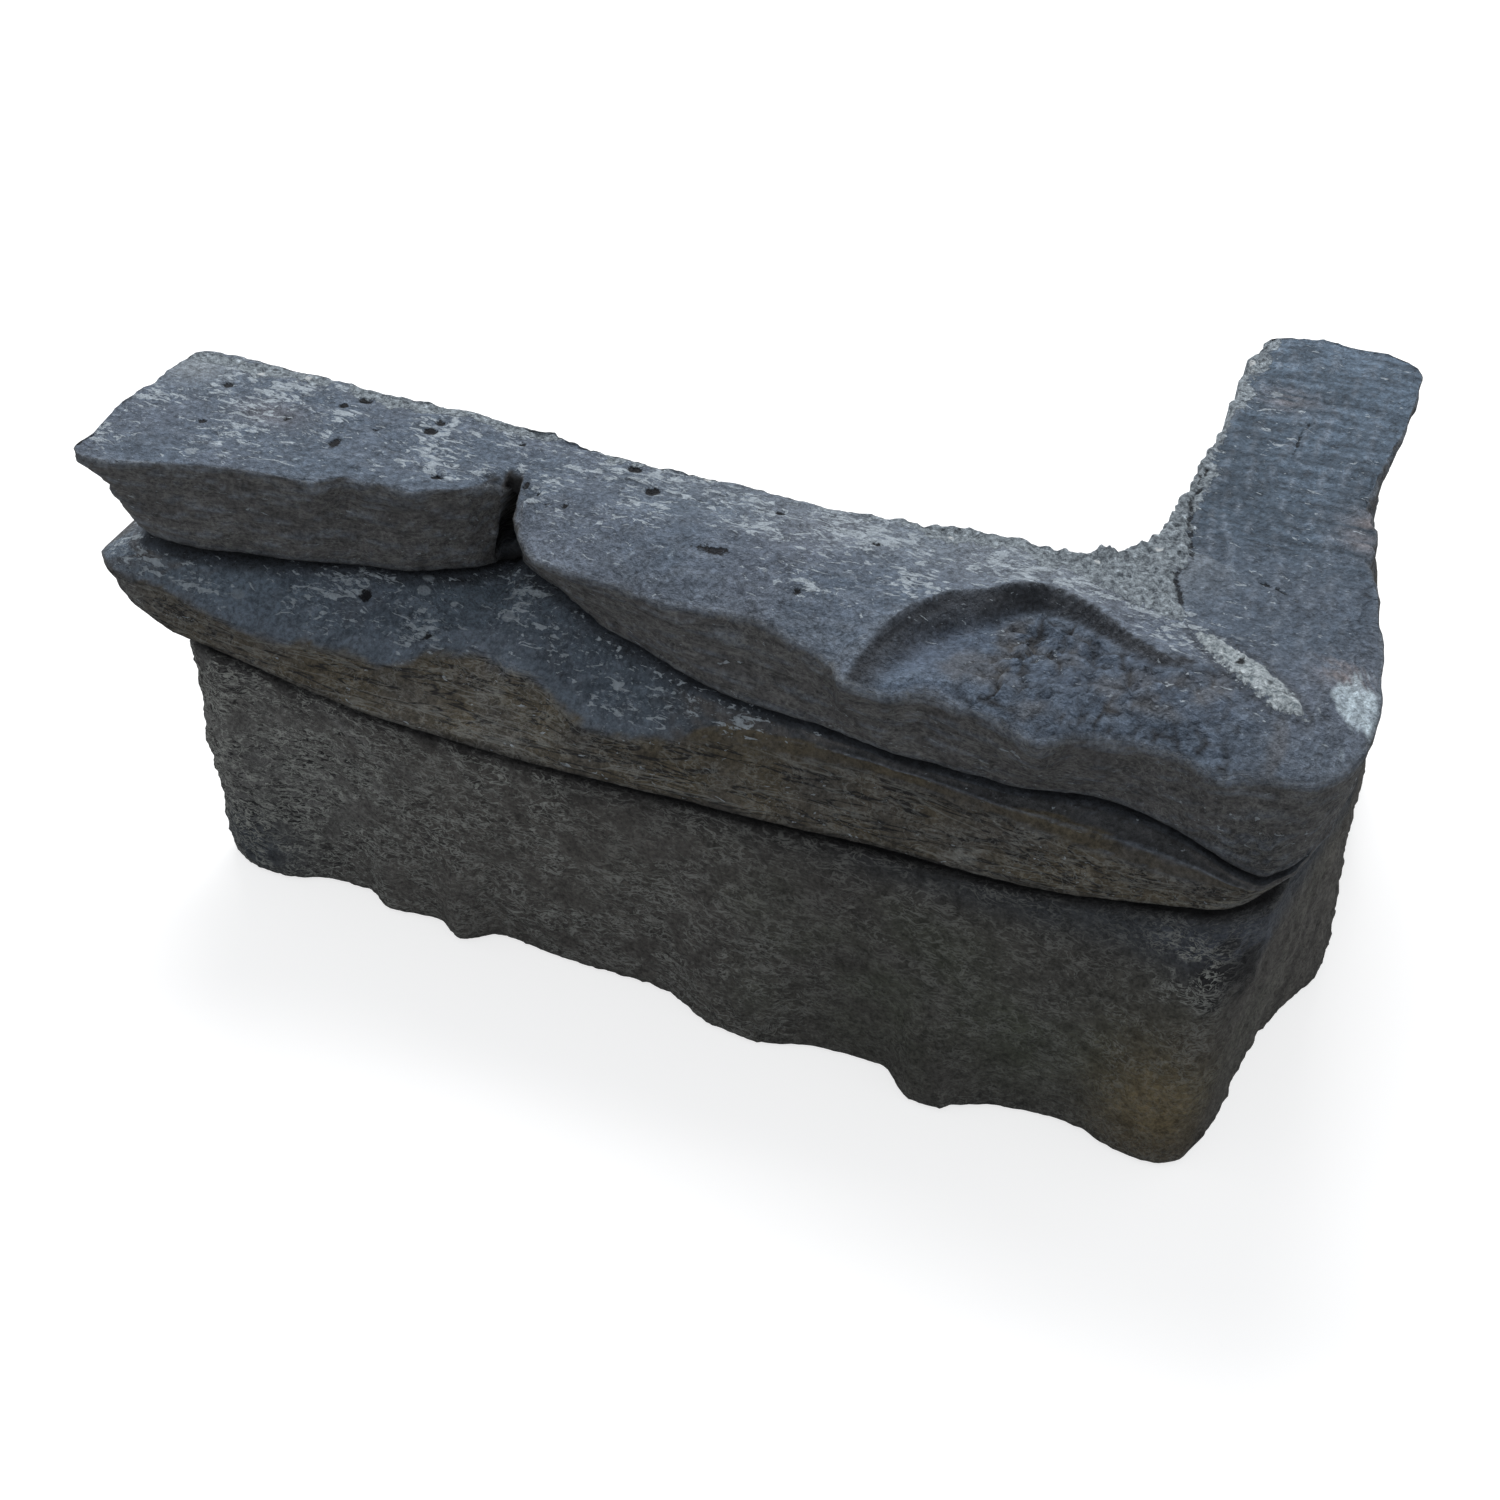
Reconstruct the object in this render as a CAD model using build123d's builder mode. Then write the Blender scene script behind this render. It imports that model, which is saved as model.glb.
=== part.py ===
from build123d import *
import os
from math import cos, radians, sin

# Sizes of the casting, in millimetres. The origin is the wall's outside corner, on the bed.
# The long leg runs towards -X with its wall side on y = 0, the return towards +Y with its wall side on x = 0.
long_leg = 255.0  # wall corner to the tip of the long leg
return_leg = 109.0  # wall corner to the end of the return
stone_depth = 50.0  # wall side to the usual show face
bottom_course = 78.0  # height of the tall lowest course
middle_course = 23.0  # height of the ledge course
top_course = 26.0  # height of the two cap stones
joint_recess = 7.0  # how far the joint under the ledge is drawn in
joint_height = 2.5  # how high the joint's mouth is
ledge_nose = 10.0  # height of the ledge's front, from its lip to its upper arris
lip_height = 1.0  # the ledge's lip above the joint
shelf_undercut = 8.0  # how far the shelf runs in under the cap stones
undercut_height = 2.2  # how high that gap is
cap_face = 18.0  # height of the corner cap stone's front face
turn_radius = 20.0  # the sections turn about a point this far inside the wall on both sides
corner_squareness = 6.0  # exponent of the rounded square corner; a larger one is sharper
corner_fill = 24.0  # radius of the rough mortar in the inner corner

# The joint between the two cap stones
cap_joint_place = 146.0  # from the wall corner, along the long leg
cap_joint_width = 8.0  # at the show face
cap_joint_end = 16.0  # from the wall side, where the joint closes

# The scallop that is spalled off the corner cap stone's top
scallop_depth = 7.6  # at its left foot
scallop_fall = 0.115  # how much its floor rises for each millimetre to the right
scallop_lean = 0.035  # how much its floor falls for each millimetre inwards
# Its rim: the place along the long leg from the wall corner, and how far in from the usual show face
scallop_rim = [(-57, -8), (-50, 11), (-24, 37), (0, 28), (16, 24)]

# The ends: how far each course stops short of its leg's length
left_bottom_short = 30.0
left_top_short = 11.0
left_cap_foot_short = 18.0
return_bottom_short = 5.0
return_top_short = 1.0
end_bulge = 3.0  # how far a cap stone's end stands out below its top edge
end_step = 2.5  # how far the courses' ends step in and out at the joint under the ledge

over = 8.0  # how far the rough casting and the cuts run past the trimmed sides

ledge_height = bottom_course + ledge_nose
cap_foot_height = bottom_course + middle_course
height = cap_foot_height + top_course

# Rails: the long lines of the show face. Each point is a station, the relief from the usual show face, and
# the rise from the rail's usual height. Stations run -100 to 0 along the long leg from its tip to the turn,
# 0 to 90 are degrees of the turn, and 90 to 190 run along the return to its end.
foot = [
    (-112, -8, 0), (-86, -1, 0), (-73, -4, 0), (-62, -1, 0), (-57, 3, 0), (-46, -1, 0), (-33, -1, 0),
    (-23, 6, 0), (-15, 2, 0), (-8, 1, 0), (-3, 8, 0), (9, 3, 0), (20, 2, 0), (32, 6, 0), (48, -8, 0),
    (58, -10, 0), (75, -3, 0), (90, 4, 0), (118, 2, 0), (169, 1, 0), (210, -2, 0),
]
belly = [
    (-112, -6, 0), (-86, 0, 0), (-72, -1, 0), (-55, 1, 0), (-36, 0, 0), (-25, 4, 0), (-13, 2, 0),
    (-4, 4, 0), (18, 3, 0), (34, 5, 0), (42, 0, 0), (50, -6, 0), (70, -2, 0), (90, 2, 0), (148, 2, 0),
    (169, -2, 0), (210, -8, 0),
]
shoulder = [
    (-112, -5, 1), (-85, 0, 1), (-74, 1, -1), (-60, 2, -3), (-30, 3, -3), (-11, 3, -1), (20, 2, 2),
    (36, 2, 5), (44, -1, 6), (54, -5, 6), (76, 0, 4), (90, 0, 2), (118, -4, 2), (157, -7, 2), (210, -14, 2),
]
lip = [
    (-112, -18, 8), (-98, -12, 6), (-92, -5, 3), (-86, 1, 1), (-69, 6, -1), (-46, 8, -2), (-12, 7, 1),
    (16, 6, 2), (26, 5, 4), (36, 3, 6), (44, 0, 9), (54, -2, 11), (72, 1, 9), (90, 1, 7), (103, -2, 5),
    (118, -4, 4), (157, -8, 3), (210, -15, 2),
]
ledge = [
    (-112, -16, 1), (-99, -9, 0), (-90, -3, 1), (-78, 2, 0), (-70, 1, 0), (-62, -1, 0), (-59, -4, 1),
    (-54, -10, 3), (-49, -7, 2), (-42, 0, 0), (-36, 2, -1), (-27, -3, 1), (-14, -4, 4), (2, 0, 5),
    (19, 3, 5), (39, 3, 4), (50, -1, 6), (72, 1, 5), (90, 0, 4), (102, -3, 3), (118, -5, 2), (152, -8, 2),
    (210, -15, 2),
]
cap_foot = [
    (-112, -9, 0), (-88, -7, 0), (-75, -12, 0), (-63, -20, 0), (-57, -26, 0), (-54, -30, 1), (-49, -24, 3),
    (-42, -15, 2), (-30, -7, 0), (-19, -5, -1), (0, -3, -2), (19, -4, 0), (28, -2, 0), (34, 2, -1),
    (40, 6, -3), (49, 2, 0), (63, 2, 3), (76, 1, 3), (90, -2, 2), (118, -6, 1), (135, -11, 1), (163, -14, 1),
    (210, -15, 1),
]
cap_arris = [
    (-112, 0, 10), (-95, 0, 10), (-87, -5, 10), (-71, -12, 10), (-66, -16, 10), (-59, -19, 10), (-56, -26, 7),
    (-53, -27, 3), (-50, -17, 0), (-47, -13, 0), (-34, -10, 0), (-25, -10, 1), (-18, -6, 0), (-15, 1, 0),
    (-11, 1, -1), (-7, -4, 0), (0, 1, 0), (7, 4, 0), (14, -1, 1), (28, -2, 1), (35, 1, 0), (47, 4, 1),
    (55, 4, 3), (66, 1, 7), (74, -3, 9), (84, -5, 10), (92, -9, 10), (118, -12, 10), (137, -11, 10),
    (159, -8, 10), (180, -8, 10), (210, -12, 10),
]
crown = [
    (-112, -4, 0), (-86, -10, 0), (-61, -22, 0), (-56, -30, 0), (-53, -36, 0), (-38, -34, 0), (-21, -32, 0),
    (0, -28, 0), (27, -28, 0), (45, -28, 0), (56, -17, 0), (72, -12, 0), (92, -12, 0), (210, -15, 0),
]
# Where the casting's upright sections are taken
stations = [*range(-108, 0, 4), *range(0, 90, 6), *range(90, 206, 7)]


def reading(rail, station):
    """The relief and the rise of a rail at a station, straight between its points."""
    for (start, relief, rise), (end, next_relief, next_rise) in zip(rail, rail[1:]):
        if station <= end:
            share = (station - start) / (end - start)
            return relief + share * (next_relief - relief), rise + share * (next_rise - rise)


def section_plane(station):
    """The upright plane of a station: its x points out of the wall, its y up."""
    if station <= 0:
        origin = (-turn_radius + station / 100 * (long_leg - turn_radius), 0)
        turn = 0.0
    elif station < 90:
        turn = radians(station)
        origin = (turn_radius * (sin(turn) - 1), turn_radius * (1 - cos(turn)))
    else:
        origin = (0, turn_radius + (station - 90) / 100 * (return_leg - turn_radius))
        turn = radians(90)
    return Plane(origin=(*origin, 0), x_dir=(sin(turn), -cos(turn), 0), z_dir=(-cos(turn), -sin(turn), 0))


def face_depth(station):
    """The usual show face from the wall side, rounding a nearly square corner in the turn."""
    turn = radians(min(max(station, 0), 90))
    roundness = cos(turn) ** corner_squareness + sin(turn) ** corner_squareness
    return (turn_radius + stone_depth) / roundness ** (1 / corner_squareness) - turn_radius


def rail_points(station):
    """The points where a station's section crosses the rails, from the foot up."""

    def point(rail, usual_height, drawn_in=0.0):
        relief, rise = reading(rail, station)
        return face_depth(station) + relief - drawn_in, usual_height + rise

    return [
        point(foot, -over),
        point(belly, bottom_course / 2),
        point(shoulder, bottom_course - joint_height),
        point(shoulder, bottom_course - joint_height / 2, joint_recess),
        point(lip, bottom_course + lip_height),
        point(ledge, ledge_height),
        point(cap_foot, cap_foot_height - undercut_height),
        point(cap_foot, cap_foot_height - undercut_height / 2, shelf_undercut),
        point(cap_foot, cap_foot_height),
        point(cap_arris, cap_foot_height + cap_face),
        point(crown, height + over),
    ]


with BuildPart() as veneer_corner:
    # The courses, ledge and caps are one loft through upright sections that turn round the corner.
    for station in stations:
        rails_here = rail_points(station)
        with BuildSketch(section_plane(station)):
            with BuildLine():
                Spline(*rails_here[:3])
                Polyline(*rails_here[2:], (-over, height + over), (-over, -over), rails_here[0])
            make_face()
    loft()

    # The flat bed and top
    split(bisect_by=Plane.XY, keep=Keep.TOP)
    split(bisect_by=Plane.XY.offset(height), keep=Keep.BOTTOM)

    # The wall's place, with the rough mortar left in its corner
    wall_reach = long_leg + return_leg
    with BuildSketch():
        with BuildLine():
            Line((0, corner_fill), (0, wall_reach))
            Line((0, wall_reach), (-wall_reach, wall_reach))
            Line((-wall_reach, wall_reach), (-wall_reach, 0))
            Line((-wall_reach, 0), (-corner_fill, 0))
            RadiusArc((-corner_fill, 0), (0, corner_fill), -corner_fill)
        make_face()
    extrude(amount=height, mode=Mode.SUBTRACT)

    # The stepped end of the long leg: the tall course stops short, the ledge reaches furthest
    with BuildSketch(Plane.XZ):
        with BuildLine():
            Polyline(
                (-wall_reach, -over),
                (-long_leg + left_bottom_short - end_step, -over),
                (-long_leg + left_bottom_short, bottom_course - joint_height),
                (-long_leg + left_bottom_short + end_step, bottom_course),
                (-long_leg + end_step, ledge_height - ledge_nose / 2),
                (-long_leg, ledge_height),
                (-long_leg + left_top_short, cap_foot_height - undercut_height),
                (-long_leg + left_cap_foot_short, cap_foot_height),
                (-long_leg + left_top_short - end_bulge, height - over),
                (-long_leg + left_top_short, height + over),
                (-wall_reach, height + over),
                close=True,
            )
        make_face()
    extrude(amount=wall_reach, both=True, mode=Mode.SUBTRACT)

    # The stepped end of the return
    with BuildSketch(Plane.YZ):
        with BuildLine():
            Polyline(
                (wall_reach, -over),
                (return_leg - return_bottom_short, -over),
                (return_leg - return_bottom_short + end_step, bottom_course - joint_height),
                (return_leg - return_bottom_short - end_step, bottom_course),
                (return_leg, ledge_height),
                (return_leg - return_bottom_short, cap_foot_height),
                (return_leg - return_top_short, height - over),
                (return_leg - return_top_short - end_bulge, height + over),
                (wall_reach, height + over),
                close=True,
            )
        make_face()
    extrude(amount=wall_reach, both=True, mode=Mode.SUBTRACT)

    # The joint between the two cap stones
    with BuildSketch(Plane.XY.offset(cap_foot_height - undercut_height)):
        with BuildLine():
            Polyline(
                (-cap_joint_place, -cap_joint_end),
                (-cap_joint_place - cap_joint_width, -stone_depth - over),
                (-cap_joint_place + cap_joint_width, -stone_depth - over),
                close=True,
            )
        make_face()
    extrude(amount=height, mode=Mode.SUBTRACT)

    # The scallop, on a floor that falls towards the joint and inwards
    rim = [(along, inward - stone_depth) for along, inward in scallop_rim]
    scallop_floor = Plane(
        origin=(*rim[0], height - scallop_depth),
        x_dir=(1, 0, scallop_fall),
        z_dir=(-scallop_fall, scallop_lean, 1),
    )
    with BuildSketch(scallop_floor):
        with BuildLine():
            local_rim = [(x - rim[0][0], y - rim[0][1]) for x, y in rim]
            Spline(*local_rim)
            Polyline(local_rim[-1], (local_rim[-1][0], -stone_depth), (0, -stone_depth), local_rim[0])
        make_face()
    extrude(amount=height, mode=Mode.SUBTRACT)
veneer_corner.part.label = "veneer_corner"

os.makedirs("parts", exist_ok=True)
export_step(veneer_corner.part, "parts/veneer_corner.step")
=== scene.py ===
"""Stone veneer corner: the looks of one cast L-shaped corner unit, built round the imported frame."""

import math

import bpy
import numpy as np
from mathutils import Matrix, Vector


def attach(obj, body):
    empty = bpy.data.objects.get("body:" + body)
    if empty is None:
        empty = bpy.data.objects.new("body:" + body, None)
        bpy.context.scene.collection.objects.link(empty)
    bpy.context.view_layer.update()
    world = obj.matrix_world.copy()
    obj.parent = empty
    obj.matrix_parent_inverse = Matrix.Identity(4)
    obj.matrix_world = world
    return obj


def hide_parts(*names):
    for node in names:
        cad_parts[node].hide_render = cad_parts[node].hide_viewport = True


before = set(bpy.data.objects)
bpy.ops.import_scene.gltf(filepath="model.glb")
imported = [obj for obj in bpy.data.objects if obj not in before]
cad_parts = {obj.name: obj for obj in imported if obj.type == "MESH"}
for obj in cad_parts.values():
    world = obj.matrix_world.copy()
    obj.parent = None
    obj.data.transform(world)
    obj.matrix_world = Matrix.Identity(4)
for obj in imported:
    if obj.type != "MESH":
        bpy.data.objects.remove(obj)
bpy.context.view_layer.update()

MM = 0.001

# The photograph's camera, fitted to the casting's edges: where it is in millimetres, and how it points
CAMERA_EYE = (50.5, -359.4, 396.9)
CAMERA_AZIMUTH, CAMERA_ELEVATION = 22.04, 42.39
LENS, SENSOR = 49.145, 36

# Plan of the piece, in millimetres. A place on the casting has a station s, a depth t out from the wall
# side and a height z. Stations are x along the long leg, y along the return, and run from -TURN to TURN
# round the corner, about a point TURN inside the wall on both sides.
TURN = 20.0
LEFT_END, RIGHT_END = -262.0, 112.0
HEIGHT = 127.0

# How finely the skin is divided: spacing of the stations, in their own millimetres
LEG_STEP, TURN_STEP, RETURN_STEP = 0.88, 0.35, 1.15


def place(s, t):
    """The plan position of stations and depths."""
    turn = (np.clip(s, -TURN, TURN) + TURN) / (2 * TURN) * math.pi / 2
    x = np.where(s < -TURN, s, np.where(s > TURN, t, -TURN + (TURN + t) * np.sin(turn)))
    y = np.where(s < -TURN, -t, np.where(s > TURN, s, TURN - (TURN + t) * np.cos(turn)))
    return x, y


def level(height, points):
    """A rail at one height: stations and depths with that height after them."""
    return [(s, t, height) for s, t in points]


# Rails: the long lines of the casting, from the foot of the show face up to the back of the top, and the
# foot of the wall side. Each point is a station, a depth and a height.
FOOT = level(0, [
    (-262, 42), (-229, 45), (-222, 49), (-213, 50.5), (-195, 46.5), (-186, 46),
    (-176, 50), (-163, 49), (-155, 52.8), (-145, 47.7), (-127, 49), (-103, 48.5),
    (-93.5, 50.4), (-87.7, 53.4), (-78, 55.5), (-71, 56), (-56.6, 52), (-39, 51.3),
    (-35, 54.5), (-29.4, 58.9), (-22, 58.4), (-16.4, 53.4), (-12, 54.7), (-9.6, 58),
    (-7.4, 65), (-4, 70.5), (-2.4, 68.5), (0.6, 62.4), (5, 53.4), (9.7, 48.6),
    (13.3, 49.1), (16.4, 50.9), (19, 53.5), (27, 54), (45, 52.5), (70, 51.5), (90, 51), (112, 48),
])
BELLY = level(40, [
    (-262, 44), (-226, 48), (-218, 51), (-190, 49), (-150, 51), (-105, 50.5),
    (-78, 53.5), (-50, 52), (-30, 54), (-18, 54), (-12, 57), (-8, 61.5),
    (-5, 68.5), (-3.4, 70.5), (-1.5, 67.5), (1.5, 61.5), (6, 56), (11, 53),
    (16, 52.5), (21, 52.5), (30, 51), (50, 51), (72, 51.5), (90, 47.5), (112, 43),
])
SHOULDER = [
    (-262, 45, 76), (-224, 48.5, 77), (-215, 51, 76.5), (-195, 51, 73.5), (-170, 52.5, 71.5),
    (-120, 52, 70.5), (-70, 53, 73.5), (-45, 53, 74.5), (-22, 52.5, 74.5), (-15, 54, 76), (-10, 57.5, 78),
    (-6, 63, 79.5), (-3, 67, 80.5), (-0.5, 67, 81), (3, 61, 81), (8, 55, 80), (14, 51.5, 79), (20, 50, 78),
    (32, 49.5, 77), (45, 46.5, 77), (60, 44.5, 77), (80, 43, 77), (112, 37, 77),
]
LIP = [
    (-262, 39, 85.5), (-250, 43, 83.5), (-244, 46, 82.5), (-236, 48.5, 81), (-228, 51, 80), (-218, 52, 79.5),
    (-207, 53, 79), (-182, 56.5, 78), (-165, 58, 77.5), (-128, 58, 77), (-86, 57.5, 78.5), (-48, 57, 80),
    (-18, 57, 80.5), (-13, 58.5, 81.5), (-9, 61.5, 82.5), (-6, 65, 83.5), (-4, 68, 84.5),
    (-2.3, 68.8, 86), (-0.5, 68, 88), (2, 65, 90), (6, 59, 90), (12, 54.5, 88), (20, 51.2, 86),
    (32, 48.5, 84), (45, 46, 83), (60, 44.5, 82), (80, 42.5, 82), (112, 36.5, 81),
]
LEDGE = [
    (-262, 36, 90), (-252, 41, 88.5), (-243, 45.3, 88), (-231, 47, 89), (-218, 50, 89), (-203, 52, 88),
    (-189, 51.5, 88), (-179.5, 50, 87), (-166.5, 48.7, 87.5), (-159.5, 46.5, 89), (-152, 42.5, 90.5),
    (-147, 40.3, 91), (-138, 42.5, 91), (-129.6, 43.8, 90), (-122, 49, 88), (-113, 52, 87),
    (-105.5, 52, 86.5), (-99, 50.4, 87), (-83.4, 47.2, 89), (-64.2, 46.5, 91), (-52.7, 46.3, 92),
    (-29, 48.6, 93), (-19, 50, 93), (-15, 53, 93), (-11.5, 57, 93), (-8.5, 61.5, 92.5), (-6, 65.5, 92),
    (-2.7, 69.8, 92), (-0.6, 69.5, 93), (2, 66.5, 94), (6, 60, 94), (12, 54.5, 93), (20, 50, 92),
    (31, 47.2, 91), (45, 45.3, 90), (60, 43.8, 90), (75, 41.5, 90), (86, 39, 90), (112, 36.5, 90),
]
CAP_FOOT = [
    (-262, 41, 103), (-237.4, 42.6, 101), (-225.8, 42.6, 101), (-208, 39.7, 101), (-195.4, 37.6, 101),
    (-183.8, 34.2, 101), (-167, 30.3, 101), (-154.6, 23.6, 101), (-149.6, 19.5, 101), (-146.5, 20, 103),
    (-143, 22.5, 104), (-137.7, 25.2, 104), (-131.4, 27.5, 104), (-118, 34.6, 103), (-103.5, 39, 102),
    (-89.4, 43.3, 101), (-77, 44.3, 100), (-65, 44.8, 100), (-41.2, 46.9, 99), (-19.5, 47.2, 99),
    (-15.5, 47.5, 100), (-11.7, 49.6, 101), (-8.2, 55, 101), (-5.5, 63, 100), (-3.7, 69.8, 98),
    (-2.3, 73, 97), (-0.7, 72.8, 98), (1.6, 70, 101), (3.5, 67, 103), (8, 60, 104), (14, 52.5, 104),
    (20, 47.5, 103), (27, 45, 102), (45, 43.5, 102), (60, 39, 102), (85, 36, 102), (112, 36, 102),
]
CAP_ARRIS = [
    (-262, 54, 127), (-243, 50.2, 127), (-223.8, 45, 127), (-202.8, 40, 127), (-188, 38.3, 127),
    (-180, 34, 127), (-167, 34, 127), (-158.5, 30.6, 127), (-154, 28, 126.5), (-151.6, 24.4, 126),
    (-149, 20.5, 124), (-146.6, 21, 122), (-143, 26, 120.5), (-138, 33, 119.5), (-133, 37, 119),
    (-114, 39, 119), (-99, 40.5, 119), (-86.4, 39, 120), (-78.7, 39.6, 120), (-70, 42, 120),
    (-62, 44.5, 119.5), (-58, 46.3, 119), (-54.3, 51, 119), (-45.8, 51, 118), (-36.3, 46.5, 119),
    (-26.8, 49.5, 119), (-19.4, 51, 119), (-16.7, 54.5, 119), (-13.8, 51.6, 120), (-11.1, 52, 120),
    (-9, 53.7, 120), (-7, 58, 120), (-5.5, 63.5, 119.5), (-3.4, 65.5, 120), (-1.8, 69.3, 120),
    (-0.2, 72, 120), (1.5, 71.7, 120), (4.5, 68, 122), (8, 60, 124), (12, 52, 126), (16.5, 46.4, 127),
    (22, 41.4, 127), (30, 41.6, 127), (37, 39.8, 127), (45, 38, 127), (62, 39, 127), (81, 41.6, 127),
    (100, 41.9, 127), (112, 38, 127),
]
CROWN = [
    (-262, 49, 127), (-223, 40, 127), (-180, 29, 127), (-158, 25, 127), (-150, 16, 127),
    (-146, 13.5, 126.5), (-139, 17, 126.5), (-110, 20, 127), (-70, 24, 127), (-45, 28, 127),
    (-20, 32, 127), (-8, 38, 127), (-2, 48, 126.5), (4, 51, 126.5), (11, 45, 127), (17, 41, 127),
    (24, 37, 127), (60, 37, 127), (112, 35, 127),
]
WALL_TOP = level(127, [
    (-262, -3), (-243, -3.8), (-230, -3.8), (-215, -3.2), (-195, -2.6),
    (-165, -2.4), (-150, -2), (-138, 0.3), (-110, 1.4), (-88, 2), (-78, 2.8),
    (-66, 1.2), (-52, -0.8), (-40, -2.3), (-26, -2.8), (-16, -3.6),
    (-8, -4.4), (2, -4.8), (10, -4.4), (17, -3.8), (26, -3), (45, -1.6),
    (62, -0.4), (96, -0.4), (112, 2),
])
WALL_FOOT = level(0, [
    (-262, 1), (-26, 0), (-12, -1.2), (0, -1.7), (12, -1.2), (26, 0), (112, 1),
])


def read_rail(rail, s):
    """Depth and height of a rail at stations, on a smooth curve that doesn't overshoot its points."""
    points = np.array(rail, float)
    xs = points[:, 0]
    steps = np.diff(xs)
    place_in = np.clip(np.searchsorted(xs, s) - 1, 0, len(xs) - 2)
    share = np.clip((s - xs[place_in]) / steps[place_in], 0, 1)
    results = []
    for column in (1, 2):
        ys = points[:, column]
        slopes = np.diff(ys) / steps
        before, after = slopes[:-1], slopes[1:]
        mean = (steps[1:] * before + steps[:-1] * after) / (steps[1:] + steps[:-1])
        limit = 3 * np.minimum(np.abs(before), np.abs(after))
        inner = np.where(before * after > 0, np.clip(mean, -limit, limit), 0)
        tangents = np.concatenate(([slopes[0]], inner, [slopes[-1]]))
        a, b = ys[place_in], ys[place_in + 1]
        ta, tb = tangents[place_in] * steps[place_in], tangents[place_in + 1] * steps[place_in]
        u = share
        results.append(
            a * (2 * u**3 - 3 * u**2 + 1)
            + ta * (u**3 - 2 * u**2 + u)
            + b * (3 * u**2 - 2 * u**3)
            + tb * (u**3 - u**2)
        )
    return results


# The section's knots, anticlockwise from the wall's foot. Each has its rail, a shift of depth and height,
# where it ends on the left and on the right, and the number of rows up to the next knot.
KNOTS = [
    ("wall_foot", WALL_FOOT, 0, 0, -229, 103, 6),
    ("bed_edge", FOOT, -1.4, 0, -229, 103, 3),
    ("foot", FOOT, 1.0, 1.5, -230, 104.5, 30),
    ("belly", BELLY, 0, 0, -229, 104.5, 28),
    ("shoulder", SHOULDER, 0, -1.2, -226.5, 104.5, 4),
    ("joint", SHOULDER, -8, -0.2, -225, 101, 5),
    ("lip", LIP, 0, 0, -251.5, 107, 10),
    ("ledge", LEDGE, 0, 0, -253, 108, 18),
    ("shelf", CAP_FOOT, -0.8, -2.2, -239.5, 103, 2),
    ("under", CAP_FOOT, -9, -1.6, -241, 102.5, 4),
    ("cap_foot", CAP_FOOT, 0, 0, -241.5, 105, 22),
    ("cap_arris", CAP_ARRIS, 0, 0, -249, 109, 13),
    ("crown", CROWN, 0, 0, -248, 110.5, 32),
    ("wall_top", WALL_TOP, 0, 0, -244, 108.5, 4),
    ("wall_cap_foot", WALL_FOOT, 0, 102, -241, 105, 1),
    ("wall_shelf", WALL_FOOT, 0, 99, -240, 102.5, 2),
    ("wall_ledge", WALL_FOOT, 0, 89, -254, 107, 2),
    ("wall_lip", WALL_FOOT, 0, 81, -252, 106, 1),
    ("wall_joint", WALL_FOOT, 0, 78, -225, 101, 1),
    ("wall_shoulder", WALL_FOOT, 0, 75, -226.5, 104.5, 5),
    ("wall_belly", WALL_FOOT, 0, 40, -229, 104.5, 5),
]
END_ZONE_LEFT, END_ZONE_RIGHT = -205.0, 86.0

# How strongly the top bulges from the caps' arris up to the crown: 1 is straight
ARRIS_BULGE = 1.7


def end_station(s, left, right):
    """Stations squeezed near the ends, so that each knot stops at its own place."""
    near_left = END_ZONE_LEFT + (s - END_ZONE_LEFT) * (left - END_ZONE_LEFT) / (LEFT_END - END_ZONE_LEFT)
    last = RIGHT_END - END_ZONE_RIGHT
    near_right = END_ZONE_RIGHT + (s - END_ZONE_RIGHT) * (right - END_ZONE_RIGHT) / last
    return np.where(s < END_ZONE_LEFT, near_left, np.where(s > END_ZONE_RIGHT, near_right, s))


def stations():
    """All stations, closer together round the turn, where the outside runs longer."""
    coarse = np.arange(LEFT_END, -TURN - 2, LEG_STEP)
    leg = np.sort(np.concatenate((coarse, coarse[np.abs(coarse - CAP_JOINT) < 6] + LEG_STEP / 2)))
    turn = np.arange(-TURN - 2, TURN + 2, TURN_STEP)
    back = np.linspace(TURN + 2, RIGHT_END, int((RIGHT_END - TURN - 2) / RETURN_STEP))
    return np.concatenate((leg, turn, back))


def ramp(low, high, value):
    """0 at the low value and 1 at the high one, with a soft start and a soft stop."""
    share = np.clip((value - low) / (high - low), 0, 1)
    return share * share * (3 - 2 * share)


def bell(value, centre, half):
    """A soft band, 1 in its middle."""
    return np.exp(-(((value - centre) / half) ** 2))


def spot(a, b, centre_a, centre_b, half_a, half_b):
    """A soft round patch, 1 in its middle."""
    return np.exp(-(((a - centre_a) / half_a) ** 2) - ((b - centre_b) / half_b) ** 2)


def slanted(x, y, z, squeeze):
    """Places turned half upright in the long leg's face and squeezed, for grain that leans."""
    return np.stack(((x - z) * squeeze, y, x + z), -1)


def skin_grid():
    """Stations, depths and heights of the skin, one row of the arrays a station and one column a place in
    the section, with the number of the knot that each column follows."""
    s = stations()
    read = []
    for _, rail, out, up, left, right, _ in KNOTS:
        here = end_station(s, left, right)
        t, z = read_rail(rail, here)
        read.append((here, t + out, z + up))
    columns, knots = [], []
    for number, knot in enumerate(KNOTS):
        rows = knot[-1]
        now, then = read[number], read[(number + 1) % len(KNOTS)]
        for row in range(rows):
            share = row / rows
            lift = 1 - (1 - share) ** ARRIS_BULGE if knot[0] == "cap_arris" else share
            columns.append([a + part * (b - a) for a, b, part in zip(now, then, (share, share, lift))])
            knots.append(number + share)
    grid = np.array(columns).transpose(1, 2, 0)
    return grid[0], grid[1], grid[2], np.array(knots)


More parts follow.
